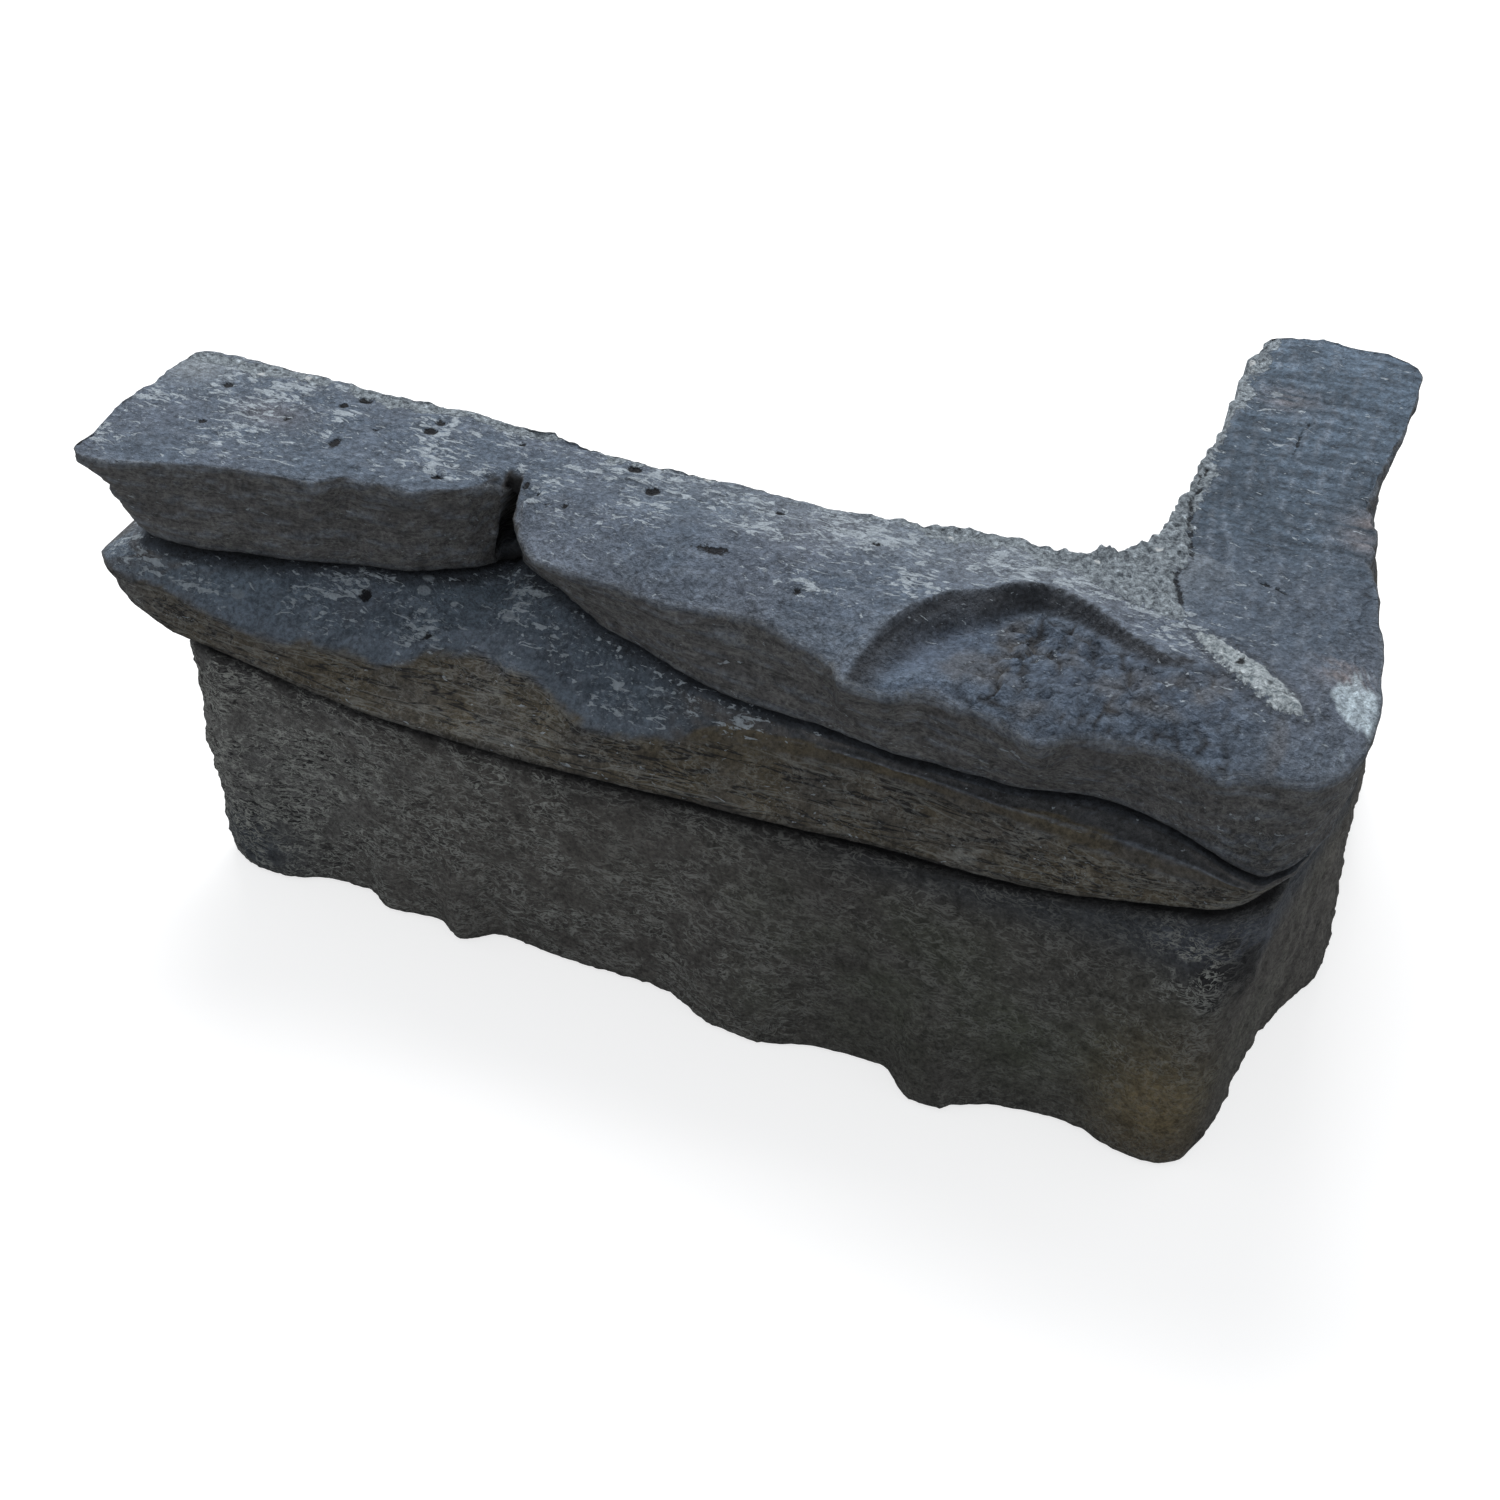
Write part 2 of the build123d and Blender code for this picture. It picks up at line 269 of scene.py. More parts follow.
def lattice_noise(points, size, seed):
    """Smooth gradient noise at points, between about -1 and 1, with waves of a size."""
    rng = np.random.default_rng(seed)
    order = np.concatenate([rng.permutation(256)] * 2)
    slopes = rng.normal(size=(256, 3))
    slopes /= np.linalg.norm(slopes, axis=1, keepdims=True)
    scaled = points / size
    cell = np.floor(scaled).astype(int)
    inside = scaled - cell
    fade = inside**3 * (inside * (inside * 6 - 15) + 10)
    total = np.zeros(points.shape[:-1])
    for corner in np.ndindex(2, 2, 2):
        near = (cell + corner) & 255
        key = order[order[order[near[..., 0]] + near[..., 1]] + near[..., 2]]
        lean = (slopes[key] * (inside - corner)).sum(-1)
        share = np.prod(np.where(np.array(corner) == 1, fade, 1 - fade), axis=-1)
        total += lean * share
    return total * 1.6


def noise(points, size, seed, layers=3):
    """Noise with finer and fainter noise on it."""
    total = np.zeros(points.shape[:-1])
    for layer in range(layers):
        total += lattice_noise(points, size / 2.1**layer, seed + layer) * 0.5**layer
    return total


def leg_noise(points, s, size, seed, layers=3):
    """Layered noise drawn out threefold along each leg, and blended at the mitre."""
    long_leg = noise(points / (3, 1, 1), size, seed, layers)
    back_leg = noise(points[..., (1, 0, 2)] / (3, 1, 1), size, seed, layers)
    share = ramp(-4, 4, s)
    return long_leg + (back_leg - long_leg) * share


def line_distance(x, y, line):
    """Distance in plan from points to a broken line, and how far along it the nearest place is, 0 to 1."""
    best = np.full(x.shape, 1e9)
    along = np.zeros(x.shape)
    spans = len(line) - 1
    for number, ((x0, y0), (x1, y1)) in enumerate(zip(line, line[1:])):
        dx, dy = x1 - x0, y1 - y0
        share = np.clip(((x - x0) * dx + (y - y0) * dy) / (dx * dx + dy * dy), 0, 1)
        gap = np.hypot(x - x0 - share * dx, y - y0 - share * dy)
        nearer = gap < best
        best = np.where(nearer, gap, best)
        along = np.where(nearer, (number + share) / spans, along)
    return best, along


def plates(x, y, seed):
    """Low overlapping plates: how high each place stands on its plate, and how near it is to a seam."""
    rng = np.random.default_rng(seed)
    jitter = rng.uniform(0.12, 0.88, (64, 64, 2))
    lean = rng.normal(0, 1, (64, 64, 2))
    u, v = x / PLATE_LONG, y / PLATE_WIDE
    column, row = np.floor(u).astype(int), np.floor(v).astype(int)
    first = np.full(u.shape, 9.0)
    second = np.full(u.shape, 9.0)
    tilt = np.zeros(u.shape)
    for side in range(-1, 2):
        for beyond in range(-1, 2):
            key = ((column + side) & 63, (row + beyond) & 63)
            du = u - column - side - jitter[key][..., 0]
            dv = v - row - beyond - jitter[key][..., 1]
            gap = np.hypot(du, dv)
            nearer = gap < first
            second = np.where(nearer, first, np.minimum(second, gap))
            tilt = np.where(nearer, lean[key][..., 0] * du + (0.6 + lean[key][..., 1]) * dv, tilt)
            first = np.where(nearer, gap, first)
    seam = second - first
    return ramp(0, 0.3, seam) + 0.9 * tilt, 1 - ramp(0.03, 0.22, seam)


def inside_outline(x, y, outline):
    """True where a point is inside a closed outline."""
    result = np.zeros(x.shape, bool)
    for (x0, y0), (x1, y1) in zip(outline, outline[1:] + outline[:1]):
        if y0 == y1:
            continue
        crosses = ((y0 > y) != (y1 > y)) & (x < (x1 - x0) * (y - y0) / (y1 - y0) + x0)
        result ^= crosses
    return result


def grid_normals(points):
    """Unit normals of the skin, which is closed round the section and open at its ends."""
    along = np.gradient(points, axis=0)
    around = np.roll(points, -1, axis=1) - np.roll(points, 1, axis=1)
    normals = np.cross(along, around)
    # The rounded ends run almost along the section there, so their rows take the normals next to them
    normals[:3], normals[-3:] = normals[3], normals[-4]
    return normals / np.maximum(np.linalg.norm(normals, axis=-1, keepdims=True), 1e-9)


def soften(points, amount, rounds):
    """Wears the edges down round the section. The amount is 0 where an edge stays sharp."""
    for _ in range(rounds):
        middle = (np.roll(points, 1, axis=1) + np.roll(points, -1, axis=1)) / 2
        points = points + (middle - points) * amount[None, :, None] * 0.5
    return points


INDEX = {knot[0]: number for number, knot in enumerate(KNOTS)}

# How far the edge at each knot is worn: 0 is sharp, 1 is well rounded. And how often the wear is repeated.
WEAR_ROUNDS = 5
WEAR = {
    "bed_edge": 0.2, "foot": 0.3, "belly": 1, "shoulder": 0.15, "joint": 0.1, "lip": 0.08, "ledge": 0.15,
    "shelf": 0.1, "under": 0.1, "cap_foot": 0.2, "cap_arris": 0.9, "crown": 1, "wall_top": 0.2,
}


def zone(knots, first, last, blend=0.08):
    """1 between two knots of the section, 0 elsewhere, blended at both ends."""
    return ramp(INDEX[first] - blend, INDEX[first] + blend, knots) * (
        1 - ramp(INDEX[last] - blend, INDEX[last] + blend, knots)
    )


# How far the ends of the show side and of the wall side are rounded in plan
TIP_ROUND, CAP_TIP_ROUND, BACK_ROUND = 4.0, 10.0, 5.0


def blunted(s, t, knots):
    """Depths with both ends of the casting rounded in plan."""
    gap = np.minimum(s - s[:1], s[-1:] - s)
    tip = TIP_ROUND + (CAP_TIP_ROUND - TIP_ROUND) * (knots > INDEX["shelf"])
    show = (1 - np.sqrt(1 - np.clip(1 - gap / tip, 0, 1) ** 2)) * tip
    wall = (1 - np.sqrt(1 - np.clip(1 - gap / BACK_ROUND, 0, 1) ** 2)) * BACK_ROUND
    front = (knots > INDEX["foot"] - 1) & (knots < INDEX["wall_top"] - 0.01)
    return np.where(front, t - show * ramp(8, 34, t), t) + wall * (1 - ramp(0, 16, t))


# The shell-shaped scar in the right-hand cap stone, in plan, and the plane of its floor
SCAR_RIM = [
    (-58, -58), (-53, -49), (-50, -39), (-46.5, -32), (-40, -23), (-32, -19), (-27, -14.5),
    (-20.5, -12.6), (-10.7, -16), (0, -22.7), (8, -26.3), (12.6, -24.5),
]
SCAR_FRONT = [(70, -30), (70, -100), (-58, -100)]
SCAR_FLOOR, SCAR_FALL, SCAR_LEAN = 124.6, 0.111, 0.035

# The riser from that floor up to the rim: how wide it is at its right, and how much wider at its left
RISER_THIN, RISER_WIDER = 1.4, 5.2

# The plates hammered into the scar's floor, along the leg and across it
PLATE_LONG, PLATE_WIDE = 6.4, 4.6

# Rough crust in plan: the patch in the inner corner, the edge where it stands proud of the return's top, and
# the spindle-shaped ridge that it runs out to along the mitre
CRUST_PATCH = [
    (-2, 66), (1.2, 60), (1, 45), (-0.1, 37.8), (2, 21.9), (5.3, 9.4), (3.3, 2), (7.1, -7), (9.9, -12.5),
    (5.8, -13.5), (-3.3, -11.2), (-13, -7), (-21, -3), (-30, -1), (-34, 6), (-10, 30), (-6, 66),
]
CRUST_EDGE = [(1, 45), (-0.1, 37.8), (2, 21.9), (5.3, 9.4), (3.3, 2), (7.1, -7)]
RIDGE = [(11, -15), (17.7, -18.9), (25, -23.9), (32.4, -29.6), (38, -33)]
RIDGE_HALF = 3.7

# How wide the crust of the back edge is, and how far in it counts in the inner corner
CRUST_WIDE, CRUST_MOST = 2.4, 4.0

# What crust and gap values say where there is no crust, nothing near, or only the wall side's crust
NO_CRUST, FAR, WALL_CRUST = -3.0, 9.0, 2.0

# The upright joint between the two cap stones: its station, half width and depth, the depth from the wall
# where it ends, and the height of its foot
CAP_JOINT, CAP_JOINT_HALF, CAP_JOINT_DEEP = -146.3, 2.1, 11
CAP_JOINT_BACK, CAP_JOINT_FOOT = 15.0, 101

# How far the shelf sags at its left end, and how far the ends are torn
SHELF_SAG, TORN = 1.8, 3.0

# The knuckle on the lower corner, scratches on it and the rough chip above it: stations and heights
KNUCKLE, SCRATCHES, CHIP = (-3.6, 62), (-4.9, 63), (-3.5, 103)
KNUCKLE_ROUGH, CHIP_ROUGH = 2.2, 1.2

# The fold along the shelf's edge, the notches in the return's arris and the teeth of the back edge
FOLD, NOTCH, TOOTH = 0.9, 2.6, 1.6

# Air holes in the tops and the shelf: station, depth in from the show side, radius along, radius across
PITS = [
    (-227.8, 10.3, 1.3, 1.0), (-197.3, 7.5, 1.3, 1.2), (-193.5, 3.6, 1.6, 1.1), (-172.6, 9.5, 1.6, 1.2),
    (-172.2, 5.4, 1.2, 0.9), (-191, 22, 1.2, 1.8), (-225.1, 25.7, 1.2, 1.0), (-114.2, 11.8, 1.7, 1.7),
    (-121.4, 5.3, 1.7, 1.2), (-93.2, 26.4, 4.2, 1.1), (-71.1, 32, 1.0, 0.8),
    (-178.7, 37, 1.5, 1.2), (-162.2, 25.3, 1.4, 1.2), (-160.3, 41, 1.1, 1.0), (-104.7, 59.7, 1.4, 1.4),
    (-139, 21, 0.8, 0.8), (-135, 24, 0.7, 0.8), (-131, 23, 0.8, 0.6), (-143, 19, 0.8, 0.9),
    (0.4, 39.6, 0.5, 1.1), (-185, 14, 0.7, 0.6), (-207, 17, 0.8, 0.6), (-150, 6, 0.8, 0.7),
    (-84, 9, 0.9, 0.6), (-60, 12, 0.8, 0.6),
]
PIT_DEEP, CRACK_DEEP = 0.9, 0.6

# Cracks in the top of the return and down its corner, in plan
CRACKS = [
    [(19.9, 74.8), (18.2, 65), (18.7, 54), (18, 36.7)],
    [(47.6, -43.2), (49.4, -47.5), (51.2, -52.4)],
    [(20.3, 6.9), (27.2, 4.6)],
]


def shaped_skin():
    """The casting's skin with its relief, in millimetres, and what the paint needs to know about it."""
    s, t, z, knots = skin_grid()
    wear = np.interp(knots, range(len(KNOTS) + 1), [WEAR.get(k[0], 0) for k in KNOTS] + [0])
    cast = soften(np.stack((s, t, z), axis=-1), wear, WEAR_ROUNDS)
    knots = knots[None, :]
    s, t, z = cast[..., 0], cast[..., 1], cast[..., 2]
    t = blunted(s, t, knots)
    z = z - SHELF_SAG * bell(knots, INDEX["shelf"], 0.55) * ramp(-182, -215, s)
    top = zone(knots, "cap_arris", "wall_top")
    cap = zone(knots, "cap_foot", "cap_arris")
    shelf = zone(knots, "ledge", "shelf")
    ledge = zone(knots, "lip", "ledge")
    bottom = zone(knots, "foot", "shoulder")
    wall = ramp(INDEX["wall_top"] - 0.05, INDEX["wall_top"] + 0.05, knots)

    # The scar drops the top to its floor, with hammered bumps on it
    x, y = place(s, t)
    spots = np.stack((x, y, z), axis=-1)
    rim_gap, rim_along = line_distance(x, y, SCAR_RIM)
    in_scar = inside_outline(x, y, SCAR_RIM + SCAR_FRONT)
    depth_in = np.where(in_scar, rim_gap, -rim_gap)
    floor = SCAR_FLOOR + SCAR_FALL * np.minimum(x, 22) - SCAR_LEAN * (y + 30)
    floor = floor + 0.02 * np.maximum(0, 8 - depth_in)
    riser = RISER_THIN + RISER_WIDER * (1 - ramp(0.32, 0.66, rim_along))
    riser = riser + 0.6 * lattice_noise(spots, 9, 44)
    hammered = ramp(-36, -24, x) * ramp(riser, riser + 3, depth_in) * (1 - ramp(24, 34, x))
    bumps = np.abs(noise(spots * (1, 1.6, 1), 5.2, 41, 2))
    bend = noise(spots, 8, 47, 2)
    scale, seam = plates(x + 1.6 * bend, y + 1.6 * lattice_noise(spots, 7, 48), 49)
    floor = floor + hammered * (scale - 0.5 + 0.5 * bumps) + 0.5 * lattice_noise(spots, 14, 46)
    cut = (0.3 * ramp(-0.1, 0.7, depth_in) + 0.7 * ramp(0.2, 1, depth_in / riser)) * top
    scar = cut * np.maximum(0, z - floor)
    z = z - scar
    lip_of_scar = top * bell(depth_in, -1.6, 2.2) * (1 - ramp(0.85, 1, rim_along))
    z = z + 0.5 * lip_of_scar * (z > 121)

    # The cap joint: a slit, wider at its foot
    share = np.clip((z - CAP_JOINT_FOOT) / (HEIGHT - CAP_JOINT_FOOT), 0, 1)
    half = CAP_JOINT_HALF * (1.5 - 0.85 * share)
    centre = CAP_JOINT - 2.4 * (1 - share) + 0.5 * np.sin(t * 0.35)
    open_here = ramp(CAP_JOINT_BACK - 3, CAP_JOINT_BACK + 2, t)
    slit = (1 - ramp(half * 0.55, half * 1.25, np.abs(s - centre))) * open_here
    slit = slit * (cap + top * ramp(CAP_JOINT_BACK - 1, CAP_JOINT_BACK + 8, t))
    slit_in = slit * CAP_JOINT_DEEP * (0.45 + 0.55 * cap)

    x, y = place(s, t)
    points = np.stack((x, y, z), axis=-1)
    normals = grid_normals(points)
    # Broad lumps, chips and grain, in or out of the skin: each noise has its height, size and seed
    leaning = slanted(x, y, z, 0.25)
    strata = np.tanh(3 * lattice_noise(np.stack((s * 0.07, t * 0, z + 0.04 * s), -1), 3.4, 15))
    rise = (
        bottom
        * (
            0.8 * noise(points * (1, 1, 0.7), 24, 3)
            + 0.9 * np.abs(noise(leaning, 9, 7))
            - 0.9 * np.abs(noise(leaning, 4.5, 8, 2))
            + 0.35 * noise(points, 3.4, 9)
        )
        + ledge * (0.35 * leg_noise(points, s, 6, 11) + 0.5 * strata)
        + shelf * (0.5 * noise(points, 11, 17) + 0.35 * noise(points, 3, 19))
        + cap * (0.6 * noise(points, 15, 23) + 0.5 * leg_noise(points / (2, 1, 1), s, 3.4, 27))
        + top * (0.5 * leg_noise(points, s, 12, 31) + 0.4 * leg_noise(points, s, 2.8, 35) - 0.6)
        + wall * (0.6 * noise(points, 16, 51) + 0.3 * noise(points, 5, 55) - 0.3)
        + (1 - wall) * 0.14 * noise(points, 2.3, 61, 2)
    )
    rise = rise - slit_in

    # Crust: the ridge along the mitre, the rough inner corner and the ragged back edge of the tops
    ridge_gap, ridge_along = line_distance(x, y, RIDGE)
    ragged = noise(points, 4.2, 71)
    swell = np.sin(math.pi * np.clip(ridge_along, 0.02, 0.98) ** 1.15) ** 0.6
    ridge = np.where(top > 0.5, RIDGE_HALF * swell + 0.5 * ragged - ridge_gap, NO_CRUST)
    patch_gap, _ = line_distance(x, y, CRUST_PATCH + CRUST_PATCH[:1])
    patch = np.where(inside_outline(x, y, CRUST_PATCH), patch_gap, -patch_gap) + 1.1 * ragged
    edge_gap = CRUST_WIDE + 3.0 * noise(points, 9, 75) - np.abs(t)
    edge_gap = edge_gap + 2.2 * ramp(84, 100, s) + 1.6 * ramp(-150, -60, s) * (s < 0)
    crust = np.maximum(np.maximum(ridge, np.minimum(patch, CRUST_MOST)), edge_gap)
    crust = np.where(top + wall > 0.4, crust, NO_CRUST)
    crust = np.where((wall > 0.9) & (t < 12), WALL_CRUST, crust)
    crumbs = np.clip(noise(points, 2.6, 81, 2), -0.7, 1.1)
    rise = rise + top * (
        ramp(-0.3, 0.9, ridge) * (0.9 + 1.2 * crumbs)
        + ramp(-0.3, 0.7, patch) * (0.5 + 1.3 * crumbs) * ramp(-30, -8, x + 0.6 * y)
        + ramp(0, 3, edge_gap) * (crumbs - 0.5)
    )

    # The ragged line of the back edge itself
    back = np.exp(-np.abs(t) / 2.2) * ramp(112, 125, z)
    station_only = np.stack((s, s * 0, s * 0), -1)
    tooth = TOOTH * noise(station_only, 5.5, 91, 3)

    # Notches in the outer arris of the return
    arris = bell(knots, INDEX["cap_arris"], 0.3)
    notch = np.abs(lattice_noise(station_only, 4.4, 93))
    rise = rise + arris * ramp(20, 30, s) * (1 - ramp(64, 80, s)) * (0.7 - NOTCH * notch)

    # The knuckle on the lower corner, and the rough chip above it
    knuckle = spot(s, z, *KNUCKLE, 2.6, 8) * bottom
    chip = spot(s, z, *CHIP, 2.6, 5) * cap
    rise = rise + knuckle * (KNUCKLE_ROUGH * noise(points, 5, 95)) + chip * CHIP_ROUGH * noise(points, 4, 97)

    # The fold along the shelf's edge, left of the corner
    fold = bell(knots - INDEX["ledge"], 0.5 + 0.12 * np.sin(s / 9), 0.13)
    rise = rise + FOLD * fold * ramp(-72, -50, s) * (1 - ramp(2, 12, s))

    # Air holes
    pit_gap = np.full(s.shape, FAR)
    for station, inward, half_along, half_across in PITS:
        reach = np.hypot((s - station) / half_along, (t - inward) / half_across)
        pit_gap = np.minimum(pit_gap, (reach - 1) * min(half_along, half_across))
    pit_gap = np.where(top + shelf > 0.5, pit_gap, FAR)
    rise = rise - PIT_DEEP * (1 - ramp(-0.9, 0.5, pit_gap))

    # Crack lines, and the groove where the crust stands over the return; the material paints them dark,
    # along the crust's edge as the crust's painted shadow
    crack_and_shadow_gap = line_distance(x, y, CRUST_EDGE)[0]
    for line in CRACKS:
        crack_and_shadow_gap = np.minimum(crack_and_shadow_gap, line_distance(x, y, line)[0] + 0.25)
    crack_and_shadow_gap = np.where(top + cap > 0.5, crack_and_shadow_gap, FAR)
    rise = rise - CRACK_DEEP * (1 - ramp(0.2, 1.0, crack_and_shadow_gap))

    points = points + normals * rise[..., None]
    on_return = (s > 0) * 1.0
    outward = np.stack((on_return, on_return - 1, s * 0), -1)
    points = points + outward * (back * tooth)[..., None]

    # The ragged ends
    near_end = ramp(-225, -245, s) + ramp(92, 106, s)
    torn = near_end * TORN * noise(np.stack((t * 0.5, z, t * 0), -1), 8, 131, 4)
    along_leg = np.stack((1 - on_return, on_return, s * 0), -1)
    points = points + along_leg * torn[..., None]
    paint = dict(
        s=s, t=t, z=z, knots=knots, top=top, cap=cap, shelf=shelf, ledge=ledge, bottom=bottom, wall=wall,
        crust=crust, pits=pit_gap, cracks=crack_and_shadow_gap, slit=slit, scar=depth_in, riser=riser,
        hammered=hammered * top, seam=seam * hammered * top,
        ridge=ramp(-0.3, 0.9, ridge) * top, ridge_gap=ridge,
        scratched=spot(s, z, *SCRATCHES, 1.5, 8) * bottom,
    )
    return points, paint


# Paints, as linear colours
TOP_BLUE = np.array([0.080, 0.104, 0.138])
TOP_MAUVE = np.array([0.086, 0.102, 0.131])
FRONT_BROWN = np.array([0.080, 0.078, 0.077])
# Painted shade on the scar's riser, in its plate seams and round the ridge
SCAR_SHADE = np.array([0.034, 0.037, 0.043])
LEDGE_TAN = np.array([0.078, 0.066, 0.045])
BOTTOM_OLIVE = np.array([0.094, 0.089, 0.081])
BOTTOM_TAN = np.array([0.190, 0.150, 0.082])
BOTTOM_GREEN = np.array([0.074, 0.090, 0.056])
SHELF_BLUE = np.array([0.078, 0.100, 0.124])
RETURN_SLATE = np.array([0.058, 0.083, 0.113])
# Painted highlight on the edges, along the arrises and on the scar's rim
EDGE_HIGHLIGHT = np.array([0.140, 0.165, 0.200])
DUSTY = np.array([0.30, 0.33, 0.35])
FLECK = np.array([0.47, 0.53, 0.58])
FIBRE = np.array([0.42, 0.43, 0.40])
# Near black: painted shade under the ledge, in the undercuts and in the cap joint, and also the stone's own
# dark wisps, strata and rough patches
SHADE_AND_DARK_MARKS = np.array([0.018, 0.018, 0.019])
LEFT_GREY = np.array([0.130, 0.130, 0.126])
PINK = np.array([0.195, 0.172, 0.172])
WHITE_PATCH = np.array([0.44, 0.52, 0.57])
KNUCKLE_BLUE = np.array([0.066, 0.076, 0.096])
GREY_CRUST = (0.09, 0.11, 0.13), (0.58, 0.66, 0.72)
PALE_CRUST = (0.20, 0.25, 0.28), (0.86, 0.94, 0.98)
# Near black: painted shade in holes, crack lines and pores; and the crust's white bits
HOLLOW_SHADE, BIT_WHITE = (0.008, 0.008, 0.010), (0.78, 0.82, 0.84)
FLOOR_BOUNCE, FLOOR_SHADOWED = (0.42, 0.42, 0.42), (0.45, 0.45, 0.45)
SKY, WHITE = (0.93, 0.96, 1.0), (1, 1, 1)

# Pink smears on the return's top: strength, middle and half sizes in plan
PINK_SMEARS = [(0.9, 40, 33, 6, 8), (0.9, 43, -17, 6, 4), (0.6, 13, 80, 7, 5)]

# The stone's roughness and shine, and how strongly the floor's white, the sky and the lamp shine
ROUGHNESS, SHINE = 0.78, 0.32
FLOOR_GLOW, SKY_STRENGTH, LAMP_ENERGY = 0.72, 0.56, 12.5
FLOOR_SIZE = 6
LAMP_PLACE, LAMP_AIM, LAMP_SIZE = (-0.35, 0.55, 1.05), (-0.08, -0.02, 0.06), (0.7, 0.5)


def blend(colour, paint, share):
    """A colour laid over by a paint."""
    share = np.clip(share, 0, 1)[..., None]
    return colour + (paint - colour) * share


def shaded(colour, change):
    """A colour made lighter or darker by a share of itself."""
    return colour * (1 + change)[..., None]


def stone_tint(points, paint):
    """The broad colour of each place on the skin, with painted shade and painted highlights in it."""
    s, t, z, knots = paint["s"], paint["t"], paint["z"], paint["knots"]
    x, y = points[..., 0], points[..., 1]
    top, cap, shelf, bottom = (paint[name] * np.ones(s.shape) for name in ("top", "cap", "shelf", "bottom"))
    broad = noise(points, 34, 101)
    mottle = noise(points * (0.6, 0.6, 1), 9, 105)
    smooth = points
    for _ in range(2):
        smooth = (np.roll(smooth, 1, 1) + np.roll(smooth, -1, 1) + 2 * smooth) / 4
    upward = grid_normals(smooth)[..., 2]

    # The fronts
    colour = blend(np.broadcast_to(FRONT_BROWN, points.shape), BOTTOM_OLIVE, bottom)
    over_arris = 0.42 * ramp(-100, -75, s) * ramp(30, 0, s) + 0.2 * mottle
    on_ledge = ramp(INDEX["lip"] - 0.1, INDEX["lip"] + 0.1, knots)
    on_ledge = on_ledge * (1 - ramp(-0.05, 0.05, knots - INDEX["ledge"] - over_arris))
    colour = blend(colour, LEDGE_TAN, on_ledge * (0.8 + 0.5 * mottle) * (1 - spot(s, z, -250, 85, 16, 30)))
    colour = blend(colour, BOTTOM_GREEN, 0.8 * bottom * spot(s, z, -45, 36, 42, 28) * (0.6 + broad))
    colour = blend(colour, BOTTOM_TAN, bottom * spot(s, z, -5.6, 20, 3.4, 19))
    colour = shaded(colour, -0.26 * bottom * ramp(-110, -40, s))
    # Painted light: the bottom course's face on the return leg lighter than on the long leg
    colour = shaded(colour, 0.42 * bottom * ramp(-2, 1.5, s))
    # Painted shade: the bottom course darker towards its top, under the ledge's overhang
    colour = blend(colour, SHADE_AND_DARK_MARKS, 0.72 * bottom * ramp(58, 76, z + 3 * mottle))
    colour = blend(colour, SHELF_BLUE, 0.3 * bottom * ramp(60, 76, z) * ramp(-70, -20, s))

    # The knuckle and the chip over it, then drips on the return and the long leg's grey left
    colour = blend(colour, KNUCKLE_BLUE, 0.8 * bottom * spot(s, z, -1.5, 70, 5, 10))
    rough_spot = spot(s, z, -2.0, 62, 2.4, 11) * (0.9 + 0.8 * noise(points, 5, 151))
    colour = blend(colour, SHADE_AND_DARK_MARKS, 0.95 * bottom * ramp(0.2, 0.55, rough_spot))
    colour = blend(colour, SHADE_AND_DARK_MARKS * 1.2, 0.7 * cap * spot(s, z, -3.2, 102, 2.2, 4.5))
    drips = noise(points * (1, 1, 0.14), 6, 161)
    colour = shaded(colour, 0.4 * drips * (1 - top) * ramp(1, 5, s))
    colour = blend(colour, LEFT_GREY, 0.9 * bottom * spot(s, z, -205, 40, 26, 26))
    colour = blend(colour, SHELF_BLUE * 0.6, 0.8 * bottom * spot(s, z, -218, 10, 16, 14))
    wisp = ramp(0.1, 0.7, noise(slanted(x, y, z, 0.12), 11, 181)) * ramp(-120, -175, s)
    colour = blend(colour, LEFT_GREY * 1.35, 0.6 * bottom * wisp * ramp(14, 26, z))

    # What faces up takes a bluer, lighter tone: partly the tops' own colour, partly painted sky light on the
    # faces that look up
    facing_up = ramp(0.3, 0.8, upward + 0.12 * mottle) * (1 - on_ledge) * (knots > INDEX["lip"] + 0.3)
    sky_lit_tint = blend(np.broadcast_to(TOP_BLUE, points.shape), TOP_MAUVE, 0.4 + 0.9 * broad)
    sky_lit_tint = blend(sky_lit_tint, RETURN_SLATE, ramp(8, 24, s) * 0.85)
    sky_lit_tint = shaded(sky_lit_tint, 0.3 * ramp(35, 90, s) - 0.14 * ramp(-4, 10, s))
    sky_lit_tint = blend(sky_lit_tint, SHELF_BLUE, shelf * (0.8 + 0.3 * mottle))
    # Painted shade from the cap stones on the shelf: darker and browner towards the right, lighter at the
    # far left
    sky_lit_tint = shaded(sky_lit_tint, -0.42 * shelf * ramp(-125, -60, s))
    sky_lit_tint = shaded(sky_lit_tint, 0.3 * shelf * ramp(-180, -205, s))
    sky_lit_tint = blend(sky_lit_tint, FRONT_BROWN * 0.6, 0.8 * shelf * ramp(-78, -45, s))
    colour = colour + (sky_lit_tint - colour) * facing_up[..., None]

    # Painted highlights: pale, bluer edges where the skin stands proud, and pale bands along the arrises
    # that face up
    proud = ((points - smooth) * grid_normals(points)).sum(-1)
    colour = blend(colour, EDGE_HIGHLIGHT, ramp(0.02, 0.14, proud) * (top + cap + shelf) * 0.5)
    top_band = bell(knots, INDEX["cap_arris"] + 0.12, 0.22) * (1 - ramp(18, 26, s))
    shelf_band = bell(knots, INDEX["ledge"] + 0.16, 0.13) * ramp(-78, -95, s)
    band = (top_band + shelf_band) * facing_up * (0.75 + 0.5 * mottle)
    colour = blend(colour, EDGE_HIGHLIGHT, 0.38 * band)

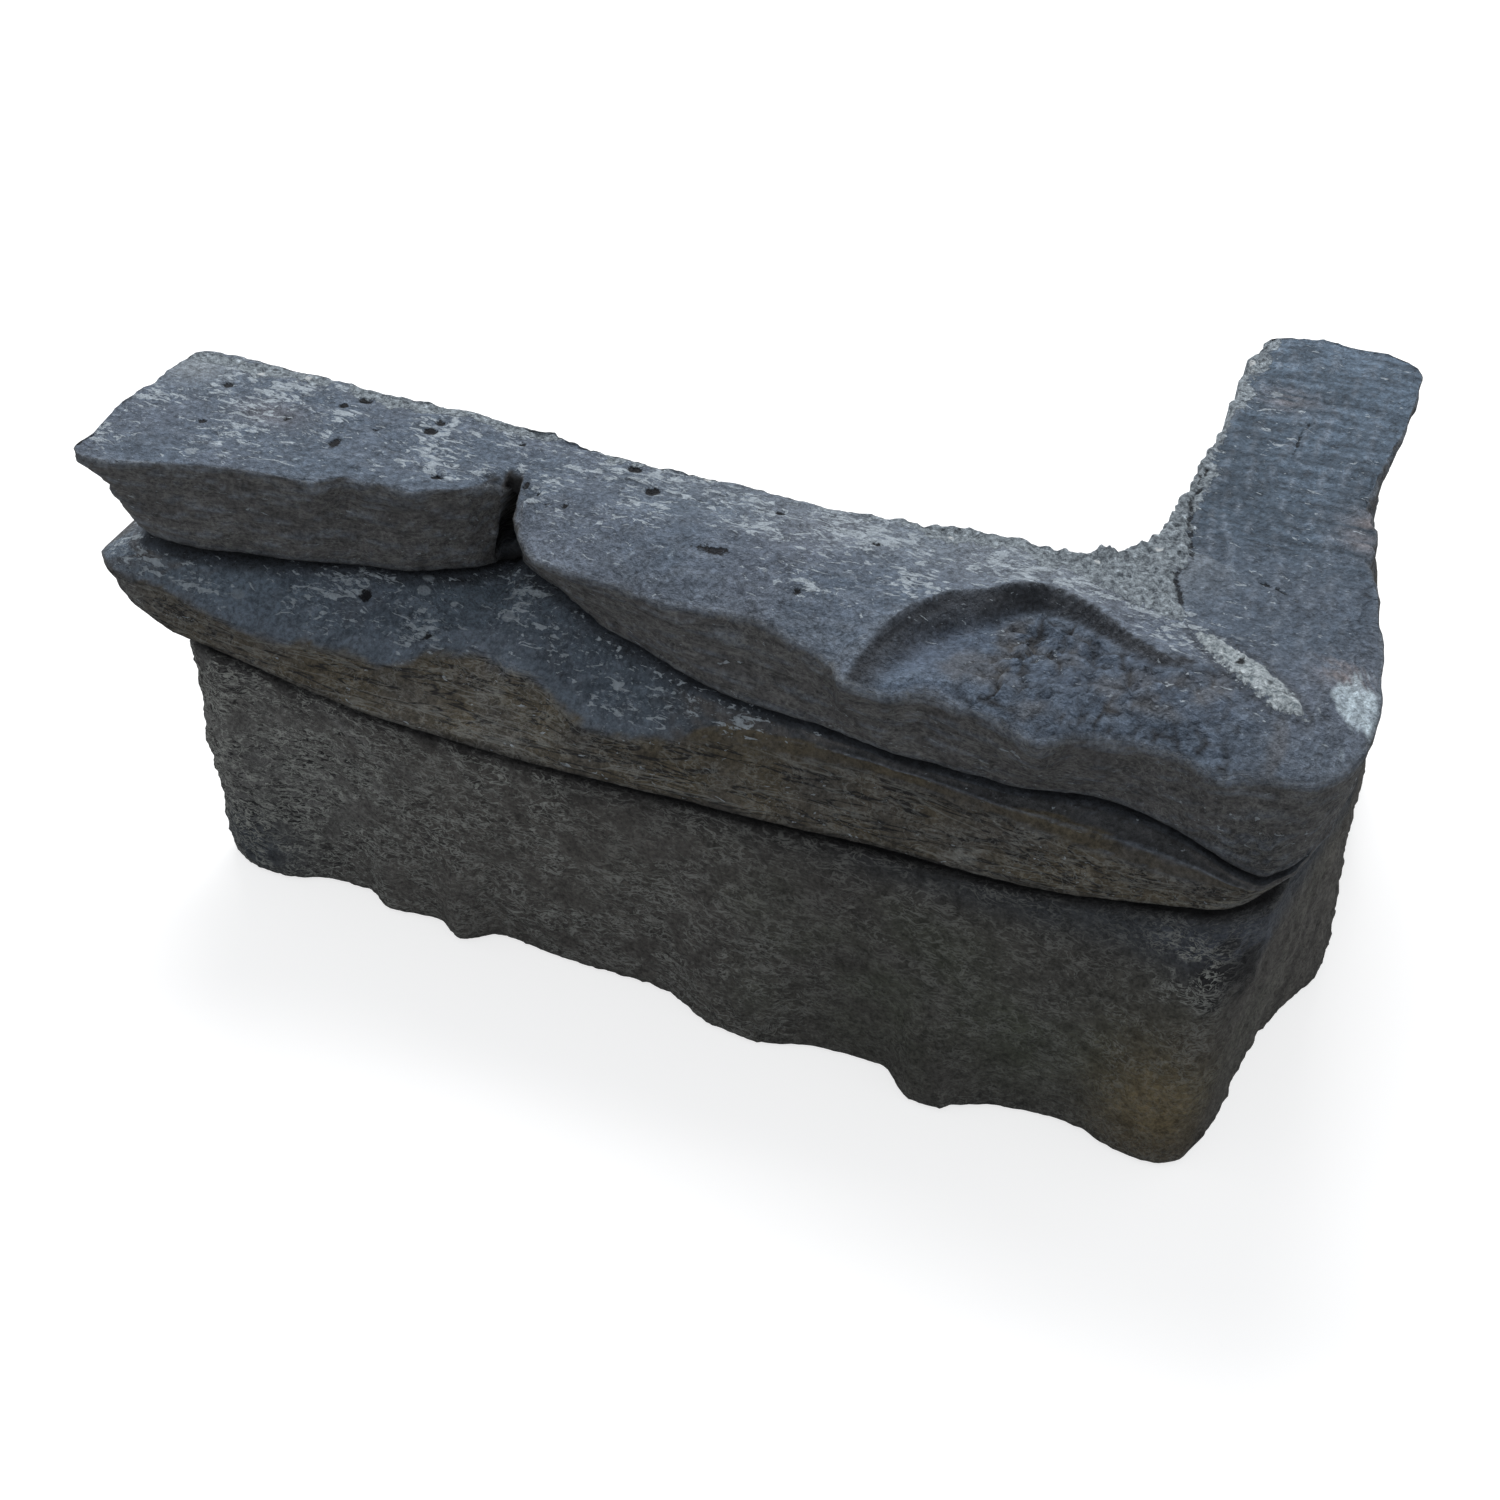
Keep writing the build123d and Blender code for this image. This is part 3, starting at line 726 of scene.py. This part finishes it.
    # Dust at the back, the scar's dark floor, and the brushed, stained and whitened return
    bare = (1 - paint["wall"]) * (1 - bottom)
    colour = shaded(colour, 0.10 * mottle + 0.10 * broad)
    back_dust = top * ramp(26, 4, t) * ramp(-160, -60, s) * (s < 12)
    colour = blend(colour, DUSTY, 0.22 * back_dust * bare)
    colour = blend(colour, DUSTY, 0.5 * top * spot(s, t, -240, 6, 10, 7))
    scarred = top * ramp(1, 4, paint["scar"]) * (1 - ramp(15, 36, x))
    colour = shaded(colour, -(0.08 + 0.20 * ramp(-45, -20, x)) * scarred)
    colour = colour * (1 + scarred[..., None] * np.array([-0.04, 0.04, 0.12]))
    brushed = np.clip(0.5 + 1.3 * noise(points * (0.12, 1, 0), 1.9, 141, 2), 0, 1)
    colour = shaded(colour, 0.6 * (brushed - 0.5) * top * ramp(14, 22, s))
    for strength, *patch in PINK_SMEARS:
        colour = blend(colour, PINK, strength * top * spot(x, y, *patch) * brushed)
    colour = blend(colour, PINK, 0.3 * top * spot(x, y, -212, -17, 10, 5))
    patch = ramp(0.36, 0.56, spot(x, y, 48.5, -23.5, 6.5, 7) + 0.42 * noise(points, 3.4, 145))
    colour = blend(colour, WHITE_PATCH, top * patch * (0.7 + 0.6 * noise(points, 2.6, 191)))

    # Painted shade in the undercuts and the cap joint, on the scar's riser and in its seams, and round the
    # scar and the ridge; browner patches on the scar's floor; a painted highlight along the scar's rim
    tuck = ramp(INDEX["shelf"] - 0.22, INDEX["shelf"], knots) * shelf
    colour = blend(colour, SHADE_AND_DARK_MARKS * 0.5, 0.75 * tuck * (0.8 + 0.8 * mottle))
    recess = zone(knots, "shoulder", "lip", 0.2) + zone(knots, "shelf", "cap_foot", 0.2)
    colour = blend(colour, SHADE_AND_DARK_MARKS * 0.3, recess * np.ones(s.shape))
    colour = blend(colour, SHADE_AND_DARK_MARKS * 0.2, ramp(0.05, 0.4, paint["slit"]) * (cap + 0.85 * top))
    depth_in, riser = paint["scar"], paint["riser"]
    colour = blend(colour, SHADE_AND_DARK_MARKS, 0.55 * bell(depth_in, 0.8, 1.4) * top * (upward < 0.93))
    riser_dark = ramp(-0.8, 0.1, depth_in) * (1 - ramp(0.5 * riser, riser + 1.6, depth_in))
    riser_dark = riser_dark * top * (x < 22) * (1 - ramp(12, 20, x))
    colour = blend(colour, SCAR_SHADE, (0.78 + 0.2 * ramp(-40, -20, x)) * riser_dark)
    colour = blend(colour, SCAR_SHADE * 0.5, 1.1 * paint["seam"] * (0.6 + 0.8 * mottle))
    worn = top * ramp(3, 7, depth_in) * (x < 36) * ramp(0.05, 0.5, noise(points, 13, 171))
    colour = blend(colour, FRONT_BROWN * 1.25, 0.45 * worn)
    colour = blend(colour, SCAR_SHADE, 0.6 * bell(paint["ridge_gap"], -0.9, 0.8) * top)
    # Painted highlight along the scar's rim
    return blend(colour, EDGE_HIGHLIGHT, 0.35 * bell(depth_in, -1.3, 1.1) * top * (x < 2))


def fleck_density(points, paint):
    """How thickly the pale flecks lie: 0 for none."""
    s, t = paint["s"], paint["t"]
    patches = 0.8 + 0.8 * noise(points, 16, 111)
    on_top = paint["top"] * (0.62 + 0.28 * ramp(30, 8, t)) * (1 - 0.7 * ramp(0, 4, s))
    on_top = on_top * (1 - 0.75 * ramp(-1.6, -0.4, paint["scar"]) * (points[..., 0] < 40))
    on_shelf = paint["shelf"] * (0.75 - 0.6 * ramp(-85, -55, s))
    on_fronts = 0.10 * paint["cap"] + 0.12 * paint["ledge"]
    knots = paint["knots"]
    smooth_edge = bell(knots, INDEX["cap_arris"] + 0.2, 0.4) + bell(knots, INDEX["ledge"] + 0.1, 0.15)
    return np.clip(((on_top + on_shelf) * patches + on_fronts) * (1 - 0.7 * smooth_edge), 0, 1)


def end_rings():
    """Which columns of the section bound each step of an end, from the bed up."""
    starts, total = {}, 0
    for knot in KNOTS:
        starts[knot[0]] = total
        total += knot[-1]
    steps = ["foot", "belly", "shoulder", "joint", "lip", "ledge", "shelf", "cap_foot"]
    rings = []
    for low, high in zip(steps, steps[1:]):
        front = list(range(starts[low], starts[high] + 1))
        back_end = total if low == "foot" else starts["wall_" + low]
        back = [c % total for c in range(starts["wall_" + high], back_end + 1)]
        bed = list(range(1, starts["foot"])) if low == "foot" else []
        rings.append(front + back + bed)
    rings.append(list(range(starts["cap_foot"], starts["wall_cap_foot"] + 1)))
    return rings


def build_mesh(points):
    """The casting's mesh and the rings of its two stepped ends, each of them a fan round a middle point."""
    rows, columns = points.shape[:2]
    index = np.arange(rows * columns).reshape(rows, columns)
    beside = np.roll(index, -1, axis=1)
    quads = np.stack((index[:-1], index[1:], beside[1:], beside[:-1]), axis=-1).reshape(-1, 4)
    rings = [index[0, ring] for ring in end_rings()]
    rings += [index[-1, ring[::-1]] for ring in end_rings()]
    fans = []
    for number, ring in enumerate(rings):
        middle = rows * columns + number
        fans += [[int(a), int(b), middle] for a, b in zip(ring, np.roll(ring, -1))]
    mesh = bpy.data.meshes.new("veneer_corner_stone")
    mesh.from_pydata((with_middles(points, rings) * MM).tolist(), [], quads.tolist() + fans)
    mesh.validate()
    mesh.update()
    for polygon in mesh.polygons:
        polygon.use_smooth = len(polygon.vertices) == 4
    return mesh, rings


def with_middles(values, rings):
    """Values of the skin's points in one list, with the mean of each end ring after them."""
    flat = np.asarray(values, float)
    flat = flat.reshape(flat.shape[0] * flat.shape[1], -1)
    return np.concatenate((flat, [flat[ring].mean(axis=0) for ring in rings]))


def add_attribute(mesh, rings, name, values):
    """A value, a place or a colour for each vertex, which the material reads by name."""
    every = with_middles(values, rings)
    kinds = {1: ("FLOAT", "value"), 3: ("FLOAT_VECTOR", "vector"), 4: ("FLOAT_COLOR", "color")}
    kind, field = kinds[every.shape[1]]
    attribute = mesh.attributes.new(name, kind, "POINT")
    attribute.data.foreach_set(field, np.ascontiguousarray(every, dtype=np.float32).ravel())


class NodeTree:
    """A short way to write the nodes of a material or a world."""

    def __init__(self, owner):
        self.tree = owner.node_tree
        self.tree.nodes.clear()

    def node(self, kind, inputs=None, **settings):
        """A node with its settings, and with what goes into each of its inputs."""
        made = self.tree.nodes.new("ShaderNode" + kind)
        for name, value in settings.items():
            setattr(made, name, value)
        for key, value in (inputs or {}).items():
            if isinstance(value, bpy.types.NodeSocket):
                self.tree.links.new(value, made.inputs[key])
            else:
                made.inputs[key].default_value = value
        return made

    def attribute(self, name, output="Fac"):
        return self.node("Attribute", attribute_name=name).outputs[output]

    def math(self, operation, first, second=0.0, clamp=False):
        made = self.node("Math", {0: first, 1: second}, operation=operation, use_clamp=clamp)
        return made.outputs[0]

    def plus(self, first, second):
        return self.math("ADD", first, second)

    def minus(self, first, second):
        return self.math("SUBTRACT", first, second)

    def times(self, first, second, clamp=False):
        return self.math("MULTIPLY", first, second, clamp)

    def larger(self, first, second):
        return self.math("MAXIMUM", first, second)

    def stretched(self, vector, scale, turn=(0, 0, 0)):
        inputs = {"Vector": vector, "Rotation": turn, "Scale": scale}
        return self.node("Mapping", inputs).outputs[0]

    def noise(self, vector, scale, detail=3.0, rough=0.55, curl=0.0):
        inputs = {"Vector": vector, "Scale": scale, "Detail": detail, "Roughness": rough, "Distortion": curl}
        return self.node("TexNoise", inputs).outputs["Fac"]

    def threads(self, vector, scale, width):
        """Thin winding lines, where a noise crosses its middle value."""
        apart = self.math("ABSOLUTE", self.minus(self.noise(vector, scale, 3.0, 0.6, 0.6), 0.5))
        return self.step(apart, width, width * 0.2)

    def cells(self, vector, scale):
        """Cells: how far each place is from the middle of its own, and three draws for each of them."""
        made = self.node("TexVoronoi", {"Vector": vector, "Scale": scale}, feature="F1")
        draws = self.node("SeparateColor", {0: made.outputs["Color"]})
        return made.outputs["Distance"], draws.outputs

    def step(self, value, low, high, kind="SMOOTHSTEP"):
        """0 at the low value and 1 at the high one."""
        inputs = {"Value": value, "From Min": low, "From Max": high}
        return self.node("MapRange", inputs, interpolation_type=kind).outputs[0]

    def spread(self, value, low=0.3, high=0.7):
        """A noise that fills the range from 0 to 1."""
        return self.step(value, low, high, "LINEAR")

    def mix(self, share, first, second):
        inputs = {"Factor": share, "A": first, "B": second}
        return self.node("Mix", inputs, data_type="RGBA").outputs["Result"]

    def finish(self, kind, lit, seen):
        """Ends the tree with one shader for light and another for what the camera sees."""
        ray = self.node("LightPath").outputs["Is Camera Ray"]
        choose = self.node("MixShader", {0: ray, 1: lit.outputs[0], 2: seen.outputs[0]})
        self.node(kind, {"Surface": choose.outputs[0]})


def rgba(colour):
    return (*[float(c) for c in colour], 1.0)


def stone_material():
    """Grey-blue cast stone: pale flecks along the legs, wisps on the bottom course, crust and air holes."""
    material = bpy.data.materials.new("cast_stone")
    material.use_nodes = True
    n = NodeTree(material)
    tint = n.attribute("tint", "Color")
    along = n.attribute("along", "Vector")
    where = n.attribute("place", "Vector")
    names = ("flecks", "wisps", "crust", "ridge", "pits", "cracks", "strata", "plated")
    flecks, wisps, crust, ridge, pits, cracks, strata, plated = map(n.attribute, names)

    grain = n.spread(n.noise(where, 0.85, 4.0, 0.7), 0.36, 0.64)
    cloud = n.spread(n.noise(where, 0.22, 5.0, 0.65))
    shade = n.plus(n.times(grain, 0.95), n.plus(n.times(cloud, 0.75), 0.45))
    colour = n.node("VectorMath", {0: tint, "Scale": shade}, operation="SCALE").outputs[0]

    # Dark and lit strata on the ledge
    layers = n.threads(n.stretched(along, (0.09, 0.6, 1.0)), 0.34, 0.03)
    layers = n.times(layers, strata)
    colour = n.mix(n.times(layers, 0.9), colour, rgba(SHADE_AND_DARK_MARKS))
    lit = n.threads(n.stretched(along, (0.08, 0.5, 0.8)), 0.29, 0.022)
    colour = n.mix(n.times(n.times(lit, strata), 0.4), colour, rgba(FIBRE * 0.7))

    # Flecks along the legs, and a few pebbles
    streaks = n.noise(n.stretched(along, (0.36, 0.95, 0.95)), 0.70, 3.0, 0.6, 0.7)
    fine = n.noise(n.stretched(along, (0.5, 1, 1)), 1.5, 2.0, 0.5, 0.5)
    high = n.minus(0.69, n.times(flecks, 0.19))
    fleck = n.step(streaks, high, n.plus(high, 0.03))
    small = n.step(fine, n.plus(high, 0.03), n.plus(high, 0.08))
    fleck = n.larger(fleck, n.times(small, 0.45))
    fleck = n.times(fleck, n.step(flecks, 0.02, 0.12))
    fleck = n.times(fleck, n.plus(n.times(grain, 0.5), 0.6), clamp=True)
    colour = n.mix(n.times(fleck, 0.85), colour, rgba(FLECK))

    apart, draws = n.cells(n.stretched(along, (0.7, 1, 1)), 0.13)
    size = n.times(n.minus(draws[0], 0.62), 0.55)
    pebble = n.step(n.minus(size, apart), -0.02, 0.03)
    pebble = n.times(pebble, n.step(flecks, 0.15, 0.4))
    colour = n.mix(n.times(pebble, 0.5), colour, rgba(FLECK * 0.8))

    # Crossing wisps, pale and dark, in patches
    turned = n.stretched(along, (0.4, 1.0, 1.0), (0, 0.62, 0))
    crossed = n.stretched(along, (0.5, 1.0, 1.0), (0, -0.5, 0))
    thread = n.larger(n.threads(turned, 0.36, 0.036), n.times(n.threads(crossed, 0.46, 0.036), 0.8))
    patch = n.step(n.noise(where, 0.11, 4.0, 0.65), 0.36, 0.54)
    wisp = n.times(n.times(thread, patch), wisps)
    dark_wisp = n.threads(n.stretched(along, (0.4, 1.0, 1.0), (0, 0.3, 0)), 0.28, 0.03)
    dark_wisp = n.times(n.times(dark_wisp, patch), wisps)
    colour = n.mix(n.times(dark_wisp, 0.6, clamp=True), colour, rgba(SHADE_AND_DARK_MARKS))
    colour = n.mix(n.times(wisp, 0.9, clamp=True), colour, rgba(FIBRE))

    # Crust, paler on the ridge
    crumbs = n.spread(n.noise(where, 0.75, 5.0, 0.7), 0.36, 0.64)
    edge = n.plus(crust, n.times(n.minus(crumbs, 0.5), 1.6))
    crusted = n.step(edge, -0.2, 0.5)
    grey_crust = n.mix(crumbs, *map(rgba, GREY_CRUST))
    pale_crust = n.mix(crumbs, *map(rgba, PALE_CRUST))
    crust_colour = n.mix(ridge, grey_crust, pale_crust)
    colour = n.mix(n.times(crusted, 0.92), colour, crust_colour)

    # Holes, crack lines and the crust's pores painted near black, as painted shade in these hollows, and
    # white bits of the crust
    medium = n.spread(n.noise(where, 0.4, 5.0, 0.65))
    ragged = n.plus(n.times(n.minus(medium, 0.5), 0.6), n.times(n.minus(grain, 0.5), 0.5))
    hole = n.step(n.plus(pits, ragged), 0.15, -0.2)
    crack = n.step(n.plus(cracks, ragged), 0.62, 0.25)
    hole = n.larger(hole, n.times(crack, 0.85))
    apart, draws = n.cells(where, 0.33)
    in_crust = n.times(n.step(apart, 0.24, 0.14), crusted)
    hole = n.larger(hole, n.times(in_crust, 0.5))
    colour = n.mix(n.times(hole, 0.95), colour, rgba(HOLLOW_SHADE))
    white_bit = n.times(n.step(draws[1], 0.93, 0.95), n.step(apart, 0.36, 0.26))
    colour = n.mix(n.times(white_bit, crusted), colour, rgba(BIT_WHITE))

    # Each cell of the plates is a low dome, with a crisp groove at the cell's border
    warp = n.node("TexNoise", {"Vector": where, "Scale": 0.30}).outputs["Color"]
    bent = n.node("VectorMath", {0: warp, 1: (3.5, 3.5, 3.5), 2: where}, operation="MULTIPLY_ADD")
    apart, _ = n.cells(bent.outputs[0], 0.24)
    dome = n.minus(0.5, n.math("POWER", apart, 2.0))
    domed = n.times(n.times(dome, 2.2), plated)

    relief = n.plus(n.times(grain, 0.34), n.times(medium, 0.9))
    relief = n.plus(relief, n.times(wisp, 0.35))
    relief = n.plus(relief, n.times(fleck, 0.15))
    relief = n.minus(relief, n.times(n.plus(layers, dark_wisp), 0.5))
    relief = n.plus(n.minus(relief, hole), domed)
    relief = n.plus(relief, n.times(n.times(crusted, crumbs), 0.9))
    bump = n.node("Bump", {"Strength": 1.0, "Distance": MM, "Height": relief}).outputs[0]

    surface = {"Base Color": colour, "Roughness": ROUGHNESS, "Specular IOR Level": SHINE, "Normal": bump}
    shader = n.node("BsdfPrincipled", surface)
    n.node("OutputMaterial", {"Surface": shader.outputs[0]})
    return material


def make_stone():
    """The dressed casting, in place of the CAD solid."""
    points, paint = shaped_skin()
    mesh, rings = build_mesh(points)
    s, t, z, bottom, ledge, cap = (paint[name] for name in ("s", "t", "z", "bottom", "ledge", "cap"))
    turn = (np.clip(s, -TURN, TURN) + TURN) / (2 * TURN) * math.pi / 2
    run = np.minimum(s, -TURN) + (TURN + t) * turn + np.maximum(s - TURN, 0)
    unrolled = np.stack((run, -t, z), axis=-1)
    on_top = paint["top"][..., None] * np.ones(points.shape) > 0.5
    tint = np.concatenate((stone_tint(points, paint), np.ones(points.shape[:2] + (1,))), axis=-1)
    x = points[..., 0]
    wisps = bottom * (0.75 + 0.5 * noise(points, 30, 121)) + 0.3 * ledge + 0.22 * cap
    wisps = wisps * (1 - 0.75 * spot(s, z, -222, 6, 20, 12))
    wisps = wisps * (1 - 0.8 * ramp(-4, 1, s) * bottom)
    wisps = wisps + 0.6 * bottom * ramp(-150, -200, x)
    wisps = wisps * (1 - 0.6 * bottom * ramp(-120, -50, x)) + 1.5 * paint["scratched"]
    fields = {
        "tint": tint,
        "along": np.where(on_top, points, unrolled),
        "place": points,
        "flecks": fleck_density(points, paint),
        "wisps": wisps,
        "strata": ledge + 0.35 * cap * np.ones(s.shape),
        "plated": paint["hammered"] + 0.35 * bottom + 0.2 * ledge,
    }
    for name in ("crust", "pits", "cracks", "ridge"):
        fields[name] = paint[name]
    for name, values in fields.items():
        add_attribute(mesh, rings, name, values)
    stone = bpy.data.objects.new("veneer_corner_stone", mesh)
    bpy.context.scene.collection.objects.link(stone)
    mesh.materials.append(stone_material())
    return stone


def make_floor():
    """A white floor that shows pure white to the camera, and keeps the stone's shadow."""
    bpy.ops.mesh.primitive_plane_add(size=FLOOR_SIZE)
    floor = bpy.context.object
    floor.name = "floor"
    material = bpy.data.materials.new("white_floor")
    material.use_nodes = True
    n = NodeTree(material)
    bounce = n.node("BsdfDiffuse", {"Color": rgba(FLOOR_BOUNCE)})
    shadowed = n.node("BsdfDiffuse", {"Color": rgba(FLOOR_SHADOWED)})
    white = n.node("Emission", {"Strength": FLOOR_GLOW})
    both = n.node("AddShader", {0: shadowed.outputs[0], 1: white.outputs[0]})
    n.finish("OutputMaterial", bounce, both)
    floor.data.materials.append(material)
    return floor


def light_scene():
    """A soft sky with one broad lamp overhead; the camera sees plain white behind the stone."""
    world = bpy.data.worlds.new("studio")
    bpy.context.scene.world = world
    world.use_nodes = True
    n = NodeTree(world)
    sky = n.node("Background", {"Color": rgba(SKY), "Strength": SKY_STRENGTH})
    white = n.node("Background", {"Color": rgba(WHITE)})
    n.finish("OutputWorld", sky, white)

    lamp = bpy.data.lights.new("overhead", "AREA")
    lamp.shape = "RECTANGLE"
    lamp.size, lamp.size_y = LAMP_SIZE
    lamp.energy = LAMP_ENERGY
    lamp_object = bpy.data.objects.new("overhead", lamp)
    lamp_object.location = LAMP_PLACE
    aim = Vector(LAMP_AIM) - lamp_object.location
    lamp_object.rotation_mode = "QUATERNION"
    lamp_object.rotation_quaternion = aim.to_track_quat("-Z", "Y")
    bpy.context.scene.collection.objects.link(lamp_object)


def place_camera():
    """The photograph's viewing angle: a close lens above and to the right of the corner."""
    camera = bpy.data.cameras.new("camera")
    camera.sensor_width, camera.lens = SENSOR, LENS
    camera.clip_start, camera.clip_end = 0.02, 20
    camera_object = bpy.data.objects.new("camera", camera)
    azimuth, elevation = math.radians(CAMERA_AZIMUTH), math.radians(CAMERA_ELEVATION)
    level_reach = math.cos(elevation)
    ahead = Vector((-math.sin(azimuth) * level_reach, math.cos(azimuth) * level_reach, -math.sin(elevation)))
    camera_object.location = Vector(CAMERA_EYE) * MM
    camera_object.rotation_mode = "QUATERNION"
    camera_object.rotation_quaternion = ahead.to_track_quat("-Z", "Y")
    bpy.context.scene.collection.objects.link(camera_object)
    bpy.context.scene.camera = camera_object


stone = make_stone()
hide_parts("veneer_corner")
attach(stone, "root")
make_floor()
light_scene()
place_camera()
bpy.context.scene.view_settings.view_transform = "Standard"
